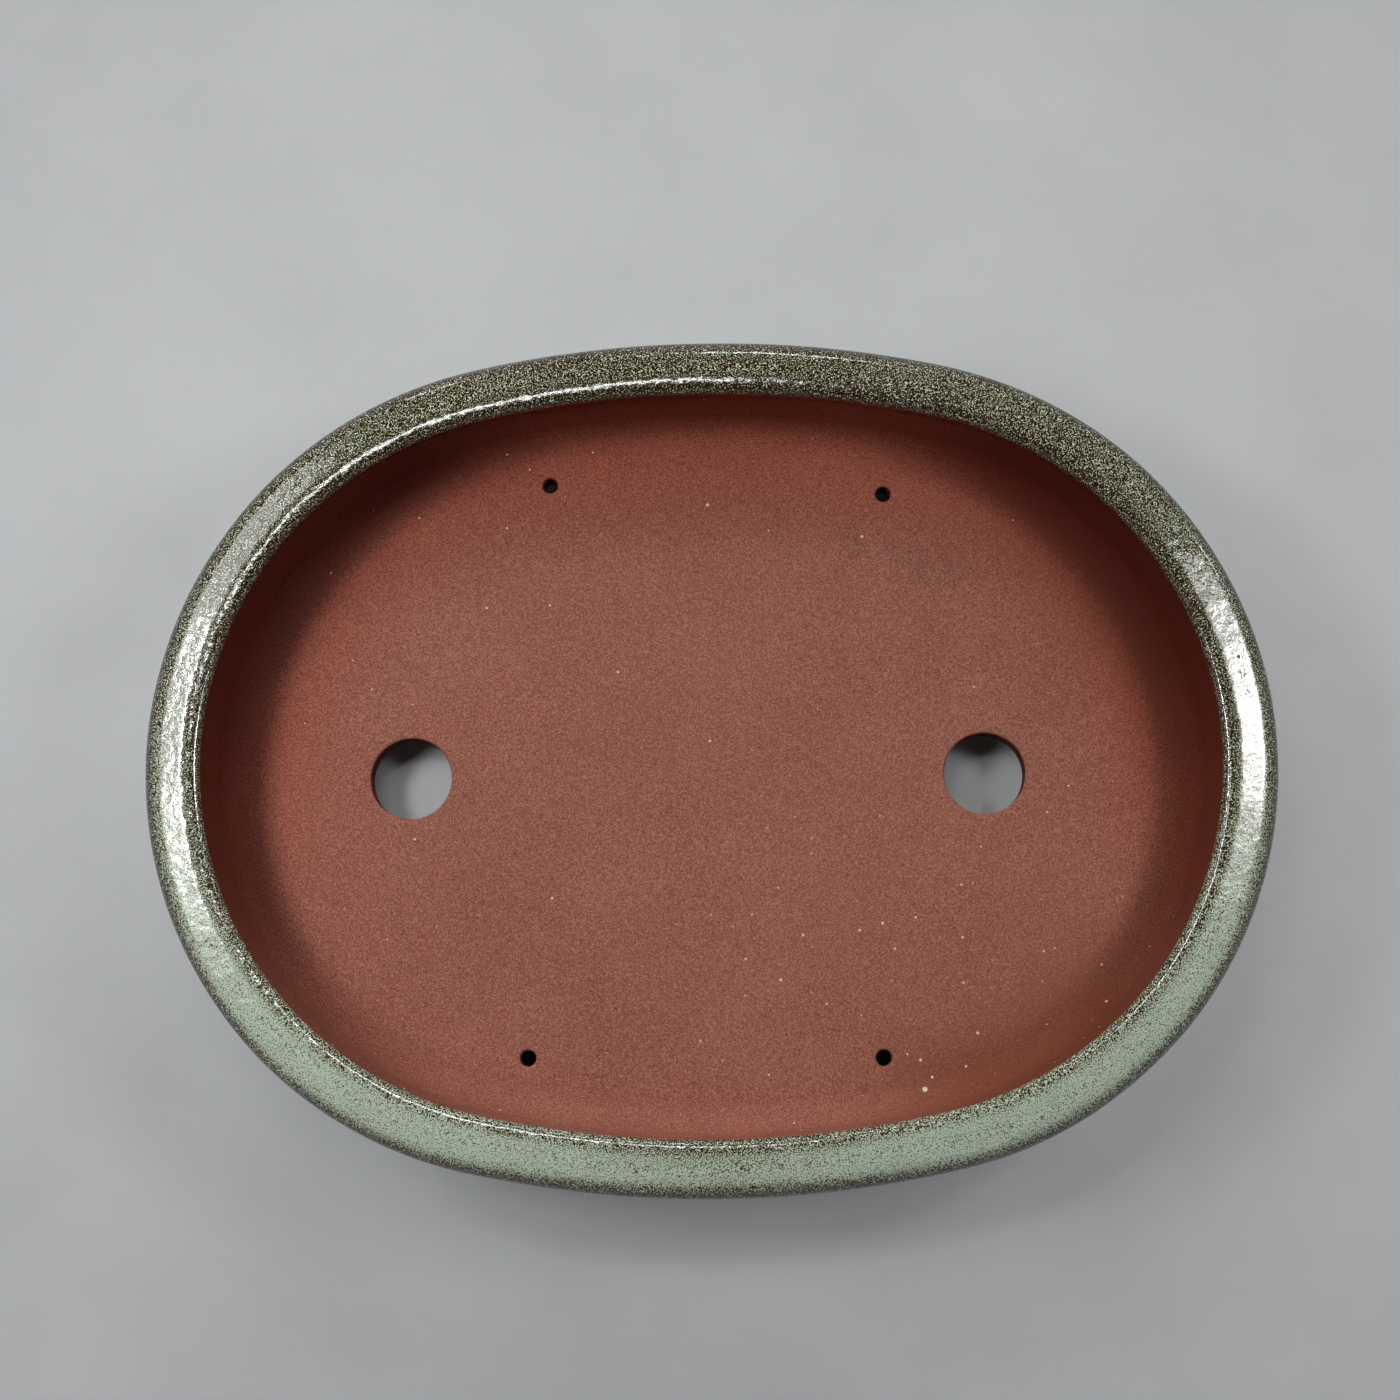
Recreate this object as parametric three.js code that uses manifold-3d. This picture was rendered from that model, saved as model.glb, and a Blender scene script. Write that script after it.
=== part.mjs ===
// An oval tray pot for a bonsai forest: red clay pieces luted together, a rolled lip,
// a speckled green glaze over the lip and the outside, and four cloud feet.
// Units are millimetres, +Z is up, and the origin is on the ground under the pot's middle.
import * as THREE from 'three';
import { mergeVertices, toCreasedNormals } from 'three/addons/utils/BufferGeometryUtils.js';
import Module from 'manifold-3d';

// Overall size, over the glaze
const LENGTH = 505;
const WIDTH = 385;
const HEIGHT = 80;
const SIDE_BOW = 7.5; // how far each long side bows out past the radius of the two ends

// Layers and joints
const GLAZE_THICKNESS = 0.7;
const SEAM = 0.3; // the slip-thin gap between neighbouring pieces

// Rim roll
const RIM_OVERHANG = 13; // from the rim's outline in to the wall's outer face
const RIM_CREST = 20; // from the rim's outline in to its highest line
const RIM_BEVEL = 4; // degrees that the top falls from the crest to the flank
const RIM_LAND = 14; // degrees that the top falls from the crest to the inner edge
const CREST_ROUND = 4; // radius along the highest line
const LIP_ROUND = 2.5; // radius of the inner edge
const FLANK_ROUND = 8.5; // radius from the bevel out to the widest line
const UNDER_ROUND = 6; // radius under the widest line
const NECK_FILLET = 3; // radius between the roll's underside and the wall
const LIP_UNDERCUT = 2; // how far the inner edge stands in over the wall's inner face
const LIP_GLAZE = 12; // from the rim's top down to where the glaze ends inside it

// Wall
const WALL_THICKNESS = 9.6;
const WALL_LEAN = 7; // degrees from upright, the foot further in than the top
const BASE_ROUND = 6; // radius of the wall's lower outer edge
const ROUND_SHARE = 0.6; // the most of the wall's thickness that this radius takes
const BASE_GLAZE = 55; // degrees of that round which the glaze covers

// Floor and the coil of clay pressed into its corner
const FLOOR_THICKNESS = 12;
const COVE_RADIUS = 15;
const COIL_EDGE = 0.4; // thickness of the coil where it runs out on floor and wall

// Drain holes, cut by hand, so the pair lies a little off the middle
const DRAIN_DIAMETER = 38;
const DRAIN_SPREAD = 0.531; // spacing of the pair as a share of the length
const DRAIN_STRAY = [-6.2, -3];
const DRAIN_EASE = 1.2; // how far the sponged edge opens

// Wire holes, pushed through from inside, with the strays of the hand that pierced them
const WIRE_DIAMETER = 7.2;
const WIRE_MOUTH = 9.5;
const WIRE_MOUTH_DEPTH = 1.8;
const WIRE_SPREAD = 0.319; // spacing along the pot as a share of the length
const WIRE_MARGIN = 58.5; // from the rim's outline in to the holes, across the pot
const WIRE_HOLES = [
  { side: [-1, 1], stray: [4.8, 4.1] },
  { side: [1, 1], stray: [3.1, -2] },
  { side: [-1, -1], stray: [-4.1, 1.5] },
  { side: [1, -1], stray: [-2.5, 0.6] },
];

// Cloud feet
const FOOT_HEIGHT = 15;
const FOOT_LENGTH = 92;
const FOOT_SOLE = 56; // length of the flat sole
const FOOT_DEPTH = 18;
const FOOT_SETBACK = 1; // from the wall's lower round in to the foot
const FOOT_DRAFT = 1.5; // how far the foot's face leans in on its way down
const FOOT_EDGE = 1; // chamfer along the sole's outer edge
const FOOT_TIP = 1.5; // height left at the foot's two ends
const FOOT_LOBES = 2; // scallops at each end
const FOOT_PLACE = 0.125; // each foot's middle, as a share of the way round from an axis

// Fineness
const STATIONS = 64; // sections round the oval
const ARC_STEP = 30; // degrees, the most that a round turns between two points
const NO_LENGTH = 1e-6; // a line this short only joins two rounds that already meet
const SOLE_STEPS = 3; // sections in half a sole
const DRAIN_SIDES = 32;
const WIRE_SIDES = 16;
const CREASE_ANGLE = 0.6; // radians, past which an edge is drawn sharp

// Sizes that follow from those above. A section's x is the inset from the rim's outline.
const END_RADIUS = WIDTH / 2 - SIDE_BOW;
const END_CENTRE = LENGTH / 2 - END_RADIUS;
const SIDE_RADIUS = END_CENTRE ** 2 / (2 * SIDE_BOW) + (WIDTH - SIDE_BOW) / 2;
const SIDE_CENTRE = SIDE_RADIUS - WIDTH / 2;
const ARC_JOINT = Math.atan2(SIDE_CENTRE, END_CENTRE); // the radius that an end and a side share
const SKIN = SEAM + GLAZE_THICKNESS;
const CLAY_TOP = HEIGHT - SKIN;
const LEAN = THREE.MathUtils.degToRad(WALL_LEAN);
const LIP_INSET = RIM_OVERHANG + WALL_THICKNESS + LIP_UNDERCUT;
const BEVEL_ANGLE = THREE.MathUtils.degToRad(90 + RIM_BEVEL);
const LAND_ANGLE = THREE.MathUtils.degToRad(90 - RIM_LAND);
const CREST = { x: RIM_CREST, z: CLAY_TOP - CREST_ROUND, radius: CREST_ROUND };
const LIP = besideRound(CREST, LAND_ANGLE, LIP_INSET - LIP_ROUND, LIP_ROUND);
const FLANK = besideRound(CREST, BEVEL_ANGLE, SKIN + FLANK_ROUND, FLANK_ROUND);
const UNDERSIDE_Z = FLANK.z - UNDER_ROUND;
const NECK_Z = UNDERSIDE_Z - NECK_FILLET * (1 - Math.sin(LEAN));
const FLOOR_TOP = FOOT_HEIGHT + FLOOR_THICKNESS;
const BASE_RADIUS = Math.min(BASE_ROUND, ROUND_SHARE * WALL_THICKNESS);
const BASE_START_Z = FOOT_HEIGHT + BASE_RADIUS * (1 - Math.sin(LEAN));
const BASE_INSET = outerInset(BASE_START_Z) + BASE_RADIUS * Math.cos(LEAN);
const FLOOR_EDGE_INSET = innerInset(FLOOR_TOP) + SEAM;

const CLAY = { color: 0x935d4d, roughness: 0.85, metalness: 0 };
const GLAZE = { color: 0x8f9a82, roughness: 0.18, metalness: 0 };

const wasm = await Module();
wasm.setup();

// A round of the section at inset x, set so that one straight line touches it and another
// round, with that line's outward direction at the angle
function besideRound(other, angle, x, radius) {
  const reach = other.x * Math.cos(angle) + other.z * Math.sin(angle) + other.radius;
  return { x, z: (reach - radius - x * Math.cos(angle)) / Math.sin(angle), radius };
}

// The inset of the wall's outer face at a height
function outerInset(z) {
  return RIM_OVERHANG + (NECK_Z - z) * Math.tan(LEAN);
}

// The inset of the wall's inner face at a height
function innerInset(z) {
  return outerInset(z) + WALL_THICKNESS;
}

// The rim's outline, an oval of four arcs, or a line that runs inside it at an even inset
class OvalLine extends THREE.Curve {
  constructor(inset = 0) {
    super();
    this.inset = inset;
    this.arcLengthDivisions = 800;
  }

  // The direction that the outline faces at t, a share of a full turn
  outward(t) {
    const angle = 2 * Math.PI * t;
    return new THREE.Vector2(Math.cos(angle), Math.sin(angle));
  }

  // The point of the outline that faces that way, on the arc of an end or of a side
  outline(t) {
    const out = this.outward(t);
    const onEnd = Math.atan2(Math.abs(out.y), Math.abs(out.x)) < ARC_JOINT;
    const centre = onEnd
      ? new THREE.Vector2(Math.sign(out.x) * END_CENTRE, 0)
      : new THREE.Vector2(0, -Math.sign(out.y) * SIDE_CENTRE);
    return centre.addScaledVector(out, onEnd ? END_RADIUS : SIDE_RADIUS);
  }

  getPoint(t, target = new THREE.Vector3()) {
    const p = this.outline(t).addScaledVector(this.outward(t), -this.inset);
    return target.set(p.x, p.y, 0);
  }

  // A section of (inset, height) points set up at u, a share of the line's own length
  stand(section, u) {
    const t = this.getUtoTmapping(THREE.MathUtils.euclideanModulo(u, 1));
    const foot = this.outline(t);
    const out = this.outward(t);
    return section.map((p) => new THREE.Vector3(foot.x - out.x * p.x, foot.y - out.y * p.x, p.y));
  }
}

const outline = new OvalLine();

// A closed skin over rings of as many points each. Without a full turn, both ends are capped.
function loft(rings, fullTurn) {
  const size = rings[0].length;
  const faces = [];
  const spans = fullTurn ? rings.length : rings.length - 1;
  for (let k = 0; k < spans; k++) {
    const here = k * size;
    const next = ((k + 1) % rings.length) * size;
    for (let j = 0; j < size; j++) {
      const up = (j + 1) % size;
      faces.push(here + j, next + j, next + up, here + j, next + up, here + up);
    }
  }
  if (!fullTurn) {
    const last = (rings.length - 1) * size;
    for (let j = 1; j < size - 1; j++) {
      faces.push(0, j, j + 1, last, last + j + 1, last + j);
    }
  }
  const geometry = new THREE.BufferGeometry().setFromPoints(rings.flat());
  geometry.setIndex(faces);
  return geometry;
}

// A section's points in the order that makes the faces of a loft point out
function facingOut(section) {
  return THREE.ShapeUtils.area(section) > 0 ? section.slice().reverse() : section;
}

// A section carried once round the oval
function sweepRing(section) {
  const ordered = facingOut(section);
  const rings = Array.from({ length: STATIONS }, (_, k) => outline.stand(ordered, k / STATIONS));
  return loft(rings, true);
}

// The points of a smooth path, each moved out of the clay by an offset
function pathPoints(path, offset = 0) {
  const points = [];
  for (const curve of path.curves.filter((each) => each.getLength() > NO_LENGTH)) {
    const turn = curve.isLineCurve ? 0 : THREE.MathUtils.radToDeg(curve.aEndAngle - curve.aStartAngle);
    const steps = Math.max(1, Math.ceil(Math.abs(turn) / ARC_STEP));
    for (let k = points.length ? 1 : 0; k <= steps; k++) {
      const along = curve.getTangent(k / steps);
      const out = new THREE.Vector2(along.y, -along.x);
      points.push(curve.getPoint(k / steps).addScaledVector(out, offset));
    }
  }
  return points;
}

// The clay surface of the roll: up and in to the lip, over the crest, down the bevel, round
// the flank and back under to the neck, where the roll stands on the wall
function rollPath(start) {
  const path = new THREE.Path();
  const undercut = (LIP_UNDERCUT * (LIP.z - start)) / (LIP.z - NECK_Z);
  path.moveTo(LIP_INSET - undercut, start);
  path.lineTo(LIP_INSET, LIP.z);
  path.absarc(LIP.x, LIP.z, LIP.radius, 0, LAND_ANGLE);
  path.absarc(CREST.x, CREST.z, CREST.radius, LAND_ANGLE, Math.PI / 2);
  path.absarc(CREST.x, CREST.z, CREST.radius, Math.PI / 2, BEVEL_ANGLE);
  path.absarc(FLANK.x, FLANK.z, FLANK.radius, BEVEL_ANGLE, Math.PI);
  path.absarc(SKIN + UNDER_ROUND, FLANK.z, UNDER_ROUND, Math.PI, 1.5 * Math.PI);
  const neckCentre = RIM_OVERHANG - NECK_FILLET * Math.cos(LEAN);
  path.absarc(neckCentre, UNDERSIDE_Z - NECK_FILLET, NECK_FILLET, Math.PI / 2, LEAN, true);
  return path;
}

// The outer clay surface of the wall: down its face and part of the way round its base
function wallPath(path, baseTurn) {
  const start = Math.PI + LEAN;
  path.lineTo(outerInset(BASE_START_Z), BASE_START_Z);
  path.absarc(BASE_INSET, FOOT_HEIGHT + BASE_RADIUS, BASE_RADIUS, start, start + baseTurn);
  return path;
}

// The rolled lip, a ring of clay with a flat seat scored and slipped onto the wall
function rimRoll() {
  return sweepRing(pathPoints(rollPath(NECK_Z)));
}

// The side of the tray, a bent slab that stands round the floor's edge
function wallBand() {
  const top = NECK_Z - SEAM;
  const face = new THREE.Path();
  face.moveTo(outerInset(top), top);
  const section = pathPoints(wallPath(face, Math.PI / 2 - LEAN));
  section.push(
    new THREE.Vector2(innerInset(FLOOR_TOP), FOOT_HEIGHT),
    new THREE.Vector2(innerInset(FLOOR_TOP), FLOOR_TOP),
    new THREE.Vector2(innerInset(top), top),
  );
  return sweepRing(section);
}

// The coil smoothed into a cove between floor and wall
function cornerCoil() {
  const lift = SEAM + COIL_EDGE;
  const centreZ = FLOOR_TOP + lift + COVE_RADIUS;
  const wallGap = (COVE_RADIUS + lift) / Math.cos(LEAN);
  const centre = new THREE.Vector2(innerInset(centreZ) + wallGap, centreZ);
  const cove = new THREE.Path();
  cove.absarc(centre.x, centre.y, COVE_RADIUS, Math.PI + LEAN, 1.5 * Math.PI);
  const wallTouch = centreZ - (COVE_RADIUS + COIL_EDGE) * Math.sin(LEAN);
  const besideWall = (z) => innerInset(z) + SEAM / Math.cos(LEAN);
  return sweepRing([
    ...pathPoints(cove),
    new THREE.Vector2(centre.x, FLOOR_TOP + SEAM),
    new THREE.Vector2(besideWall(FLOOR_TOP + SEAM), FLOOR_TOP + SEAM),
    new THREE.Vector2(besideWall(wallTouch), wallTouch),
  ]);
}

// The glass skin from inside the lip, over the roll and down the wall to its base
function glazeCoat() {
  const covered = wallPath(rollPath(HEIGHT - LIP_GLAZE), THREE.MathUtils.degToRad(BASE_GLAZE));
  const underside = pathPoints(covered, SEAM);
  const surface = pathPoints(covered, SKIN);
  return sweepRing([...surface, ...underside.reverse()]);
}

function solidOf(geometry) {
  geometry.deleteAttribute('normal');
  geometry.deleteAttribute('uv');
  const merged = mergeVertices(geometry);
  const vertProperties = new Float32Array(merged.attributes.position.array);
  const triVerts = new Uint32Array(merged.index.array);
  return new wasm.Manifold(new wasm.Mesh({ numProp: 3, vertProperties, triVerts }));
}

function geometryOf(solid) {
  const { vertProperties, triVerts } = solid.getMesh();
  const geometry = new THREE.BufferGeometry();
  geometry.setAttribute('position', new THREE.BufferAttribute(vertProperties, 3));
  geometry.setIndex(new THREE.BufferAttribute(triVerts, 1));
  return geometry;
}

// A turned cutter for a hole through the floor, from (radius, height above the floor's
// underside) points. It runs on past both faces of the floor by the overrun.
function holeCutter(profile, sides, x, y) {
  const overrun = FLOOR_THICKNESS / 4;
  const first = profile[0];
  const last = profile[profile.length - 1];
  const points = [
    [0, first[1] - overrun],
    [first[0], first[1] - overrun],
    ...profile,
    [last[0], last[1] + overrun],
    [0, last[1] + overrun],
  ].map(([radius, z]) => new THREE.Vector2(radius, z));
  const cutter = new THREE.LatheGeometry(points, sides);
  return solidOf(cutter.rotateX(Math.PI / 2).translate(x, y, FOOT_HEIGHT));
}

function drainCutters() {
  const radius = DRAIN_DIAMETER / 2;
  const profile = [
    [radius + DRAIN_EASE, 0],
    [radius, DRAIN_EASE],
    [radius, FLOOR_THICKNESS - DRAIN_EASE],
    [radius + DRAIN_EASE, FLOOR_THICKNESS],
  ];
  const [dx, dy] = DRAIN_STRAY;
  const reach = (DRAIN_SPREAD * LENGTH) / 2;
  return [-1, 1].map((side) => holeCutter(profile, DRAIN_SIDES, side * reach + dx, dy));
}

function wireCutters() {
  const radius = WIRE_DIAMETER / 2;
  const profile = [
    [radius, 0],
    [radius, FLOOR_THICKNESS - WIRE_MOUTH_DEPTH],
    [WIRE_MOUTH / 2, FLOOR_THICKNESS],
  ];
  return WIRE_HOLES.map(({ side, stray }) => {
    const x = (side[0] * WIRE_SPREAD * LENGTH) / 2 + stray[0];
    const y = side[1] * (WIDTH / 2 - WIRE_MARGIN) + stray[1];
    return holeCutter(profile, WIRE_SIDES, x, y);
  });
}

// The floor, an oval slab pierced by the drain holes and the wire holes
function floorSlab() {
  const edge = Array.from({ length: STATIONS }, (_, k) => {
    const [p] = outline.stand([new THREE.Vector2(FLOOR_EDGE_INSET, 0)], k / STATIONS);
    return new THREE.Vector2(p.x, p.y);
  });
  const cut = { depth: FLOOR_THICKNESS, bevelEnabled: false };
  const slab = new THREE.ExtrudeGeometry(new THREE.Shape(edge), cut).translate(0, 0, FOOT_HEIGHT);
  const holes = [...drainCutters(), ...wireCutters()];
  return geometryOf(holes.reduce((solid, hole) => solid.subtract(hole), solidOf(slab)));
}

// The lower edge of a foot as (distance from its middle, height) points: a flat sole that
// scallops up to a thin tip at each end
function footEdge() {
  const half = new THREE.Path();
  half.moveTo(0, 0);
  for (let k = 1; k <= SOLE_STEPS; k++) {
    half.lineTo(((FOOT_SOLE / 2) * k) / SOLE_STEPS, 0);
  }
  const lobeLength = (FOOT_LENGTH - FOOT_SOLE) / 2 / FOOT_LOBES;
  const lobeHeight = (FOOT_HEIGHT - SEAM - FOOT_TIP) / FOOT_LOBES;
  for (let k = 0; k < FOOT_LOBES; k++) {
    const start = FOOT_SOLE / 2 + k * lobeLength;
    half.absellipse(start, (k + 1) * lobeHeight, lobeLength, lobeHeight, 1.5 * Math.PI, 2 * Math.PI);
  }
  const right = pathPoints(half);
  const left = right.slice(1).map((p) => new THREE.Vector2(-p.x, p.y));
  return [...left.reverse(), ...right];
}

// A foot, bent to follow the oval, luted under the joint of wall and floor
function cloudFoot(place) {
  const top = FOOT_HEIGHT - SEAM;
  const face = BASE_INSET + FOOT_SETBACK;
  const line = new OvalLine(face);
  const rings = footEdge().map(({ x, y }) => {
    const drop = (z) => (FOOT_DRAFT * (top - z)) / top;
    const edge = Math.min(FOOT_EDGE, (top - y) / 2);
    const section = facingOut([
      new THREE.Vector2(face, top),
      new THREE.Vector2(face + drop(y + edge), y + edge),
      new THREE.Vector2(face + drop(y) + edge, y),
      new THREE.Vector2(face + FOOT_DEPTH, y),
      new THREE.Vector2(face + FOOT_DEPTH, top),
    ]);
    return line.stand(section, place + x / line.getLength());
  });
  return loft(rings, false);
}

function piece(name, geometry, finish) {
  const creased = toCreasedNormals(geometry, CREASE_ANGLE);
  const mesh = new THREE.Mesh(creased, new THREE.MeshStandardMaterial(finish));
  mesh.name = name;
  return mesh;
}

const tray = new THREE.Group();
tray.add(
  piece('floor_slab', floorSlab(), CLAY),
  piece('wall_band', wallBand(), CLAY),
  piece('corner_coil', cornerCoil(), CLAY),
  piece('rim_roll', rimRoll(), CLAY),
  piece('glaze_coat', glazeCoat(), GLAZE),
);

const feet = new THREE.Group();
feet.add(
  piece('foot_back_right', cloudFoot(FOOT_PLACE), GLAZE),
  piece('foot_back_left', cloudFoot(0.5 - FOOT_PLACE), GLAZE),
  piece('foot_front_left', cloudFoot(0.5 + FOOT_PLACE), GLAZE),
  piece('foot_front_right', cloudFoot(1 - FOOT_PLACE), GLAZE),
);

const pot = new THREE.Group();
pot.add(tray, feet);

export default pot;
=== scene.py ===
"""The looks of an oval forest-planting pot: bare red clay inside, a speckled green glaze
over the rolled rim and the outside, and four cloud feet. Lengths are in metres."""
import bisect
import math

import bmesh
import bpy
from mathutils import Matrix, Vector, noise


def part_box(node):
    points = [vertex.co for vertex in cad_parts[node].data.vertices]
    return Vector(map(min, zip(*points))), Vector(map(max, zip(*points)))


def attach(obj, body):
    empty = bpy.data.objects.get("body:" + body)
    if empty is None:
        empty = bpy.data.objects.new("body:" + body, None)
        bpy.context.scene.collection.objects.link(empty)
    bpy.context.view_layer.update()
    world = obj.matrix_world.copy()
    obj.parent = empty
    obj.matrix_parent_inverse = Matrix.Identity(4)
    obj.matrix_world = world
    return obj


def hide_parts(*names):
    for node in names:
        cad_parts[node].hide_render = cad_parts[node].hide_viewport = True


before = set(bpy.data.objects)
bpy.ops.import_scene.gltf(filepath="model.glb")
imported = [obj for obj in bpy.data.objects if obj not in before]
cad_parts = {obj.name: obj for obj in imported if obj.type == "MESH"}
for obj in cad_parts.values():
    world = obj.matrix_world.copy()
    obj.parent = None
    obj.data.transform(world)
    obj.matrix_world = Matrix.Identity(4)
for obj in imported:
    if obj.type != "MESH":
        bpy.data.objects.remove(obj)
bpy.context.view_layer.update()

MM = 0.001

# Sizes that the frame gives
GLAZE_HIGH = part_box("glaze_coat")[1]
FLOOR_LOW, FLOOR_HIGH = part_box("floor_slab")
HALF_LENGTH = GLAZE_HIGH.x
HALF_WIDTH = GLAZE_HIGH.y
RIM_TOP = GLAZE_HIGH.z
FLOOR_TOP = FLOOR_HIGH.z
FOOT_HEIGHT = FLOOR_LOW.z

# The section of rim and wall, as in the part but with a rounder crown that lies further out
SIDE_BOW = 7.5 * MM
SEAM = 0.3 * MM
SKIN = 1.0 * MM
RIM_OVERHANG = 13 * MM
WALL_THICKNESS = 9.6 * MM
LEAN = math.radians(7)
CREST_INSET = 18.5 * MM
BEVEL_ANGLE = math.radians(90 + 4)
LAND_ANGLE = math.radians(90 - 9)
CREST_ROUND = 20 * MM
LIP_ROUND = 2.5 * MM
FLANK_ROUND = 8.5 * MM
UNDER_ROUND = 6 * MM
NECK_FILLET = 3 * MM
LIP_UNDERCUT = 2 * MM
LIP_GLAZE = 12 * MM
BASE_ROUND = 0.6 * WALL_THICKNESS
BASE_GLAZE = math.radians(55)
COVE_RADIUS = 15 * MM
COVE_PROUD = 0.12 * MM

# The glaze lies close on the clay, feathers out at its two ends and strays inside the lip
GLAZE_BACK = 0.05 * MM
GLAZE_END = 0.2 * MM
GLAZE_FEATHER = 5 * MM
GLAZE_STRAY = 1.1 * MM
STRAY_LENGTH = 9 * MM
STRAY_FRACTAL = (0.6, 2, 3)  # how fast the finer waves fade, how much finer they are, how many

# The slight unevenness that the hand leaves in the clay
WAVE_LENGTH = 55 * MM
WAVE_DEPTH = 0.22 * MM
WAVE_APART = 17

# How finely the pieces are divided
STATIONS = 360
RIM_STEP = 0.9 * MM
WALL_STEP = 3.0 * MM
FLOOR_STEP = 8 * MM
FOOT_STEP = 2.5 * MM
FOOT_CUTS = (2.0 * MM, 4.0 * MM, 6.5 * MM)
HOLE_ROUND_STEPS = 5
LOBE_STEPS = 8
SHARP_ANGLE = math.radians(50)
SAME_POINT = 1e-7
TOUCH = 1e-6

# Holes through the floor: their middles, how their mouths open and how their lower edges ease
DRAINS = [(-140.3 * MM, -3.0 * MM), (127.9 * MM, -3.0 * MM)]
DRAIN_RADIUS = 19 * MM
DRAIN_SEGMENTS = 72
DRAIN_EASE = 1.0 * MM
WIRES = [
    (-75.8 * MM, 138.1 * MM),
    (83.7 * MM, 132.0 * MM),
    (-84.7 * MM, -132.5 * MM),
    (78.0 * MM, -133.4 * MM),
]
WIRE_RADIUS = 3.6 * MM
WIRE_SEGMENTS = 32
WIRE_EASE = 0.4 * MM
WIRE_MOUTH = 1.1 * MM
WIRE_MOUTH_DEPTH = 1.6 * MM
HOLE_WOBBLE = 0.25 * MM
HOLE_WOBBLE_LENGTH = 12 * MM
HOLE_WOBBLE_REACH = 0.3 * MM
HOLE_EDGE_REACH = 0.5 * MM

# Cloud feet
FOOT_LENGTH = 92 * MM
FOOT_SOLE = 56 * MM
FOOT_DEPTH = 18 * MM
FOOT_SETBACK = 1 * MM
FOOT_DRAFT = 1.5 * MM
FOOT_EDGE = 1.0 * MM
FOOT_EDGE_SEGMENTS = 3
FOOT_TIP = 1.5 * MM
FOOT_LOBES = 2
FOOT_PLACES = {
    "foot_back_right": 0.125,
    "foot_back_left": 0.375,
    "foot_front_left": 0.625,
    "foot_front_right": 0.875,
}
FACING = 0.9  # a face looks along an axis when its normal reaches this far along it
SOLE_REACH = 0.5 * MM

# How thin the glaze lies at each place of its section, from inside the lip round to the base
THINNESS = [
    (0, 0.9), (1, 0.55), (2, 0.5), (3, 0.4), (4, 0.05), (5.1, 0.0), (5.25, 0.2), (5.4, 0.6),
    (5.6, 1.1), (6, 1.3), (6.3, 0.9), (6.6, 0.5), (7, 0.25), (8, 0.0), (9, -0.15), (10, 0.05),
    (11, 1.0),
]
# How thin it lies on a foot, and how much thinner within reach of the foot's lower edge
FOOT_THIN = 0.25
FOOT_EDGE_THIN = 0.65
FOOT_EDGE_REACH = 3 * MM

# Colours of the clay, as read off a screen
CLAY_TONES = [(0.33, (108, 57, 44)), (0.5, (144, 89, 74)), (0.67, (178, 122, 104))]
RUST = (120, 64, 36)
# A dark tint painted as shade into the corner between wall and floor
CORNER_SHADE_TONE = (174, 138, 120)
# A red tint painted as the reddened shade further in at the back
REDDENED_SHADE_TONE = (255, 222, 205)
# A dark tint painted as shade into the bores of the holes
BORE_SHADE_TONE = (140, 92, 84)
GROG = (222, 206, 194)
GROG_SHARE = 0.85
GROG_RARITY = 4.0  # the higher, the fewer large grains

# Fades are (start, end, result at the start, result at the end). These follow the distance
# inside the rim's outline, the length, the width and the height
RUST_INWARDS = (35 * MM, 75 * MM, 0.6, 0.08)
# Most of these fades place painted shade: in the corner by the wall, further in at the back, and
# in the hole bores
CORNER_SHADE_INWARDS = (31 * MM, 51 * MM, 1.0, 0.0)
REDDENED_SHADE_INWARDS = (35 * MM, 95 * MM, 1.0, 0.0)
BORE_SHADE_INWARDS = (42 * MM, 44 * MM, 0.0, 1.0)
CORNER_SHADE_TO_ENDS = (60 * MM, 150 * MM, 0.2, 1.0)
CORNER_SHADE_TO_BACK = (-150 * MM, -40 * MM, 0.42, 1.0)
REDDENED_SHADE_TO_BACK = (-100 * MM, 30 * MM, 0.0, 1.0)
OVER_FLOOR = (FLOOR_TOP - 3 * MM, FLOOR_TOP - 1 * MM, 0.0, 1.0)
UNDER_FLOOR_TOP = (FLOOR_TOP - 2.0 * MM, FLOOR_TOP - 0.4 * MM, 1.0, 0.0)
OVER_BASE = (FOOT_HEIGHT + 0.4 * MM, FOOT_HEIGHT + 2.0 * MM, 0.0, 1.0)

# How the clay takes the light (a fade along its grain) and how deep its surface is worked
CLAY_ROUGHNESS = (0.3, 0.7, 0.74, 0.9)
CLAY_SHINE = 0.15
WIPED_DEPTH = 0.12 * MM
GRAIN_DEPTH = 0.05 * MM

# Colours of the glaze, from where it lies thick to where it lies thin
GLAZE_TONES = [
    (0.0, (193, 206, 188)),
    (0.28, (152, 170, 151)),
    (0.5, (124, 116, 72)),
    (0.68, (85, 64, 28)),
    (0.88, (42, 28, 11)),
]
DULL_GLAZE = (24, 19, 14)

# How thick the glaze gets, and how its thinness strengthens the specks and shifts their tone
THICKEST = -0.05
SPECK_MIDDLE = 0.5
SPECK_STRENGTH = 2.4
SPECK_GAIN = 4.2
TONE_START = 0.16
TONE_GAIN = 1.15

# How the glaze takes the light (fades along its specks) and how deep its surface is
GLAZE_ROUGHNESS = (0.35, 0.65, 0.05, 0.10)
SCUFF_BREAKS = (0.48, 0.56, 0.0, 0.7)
DULL_ROUGHNESS = 0.7
GLAZE_IOR = 1.7
SWELL_DEPTH = 0.45 * MM
RIPPLE_DEPTH = 0.16 * MM
SPECK_DEPTH = 0.006 * MM

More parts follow.
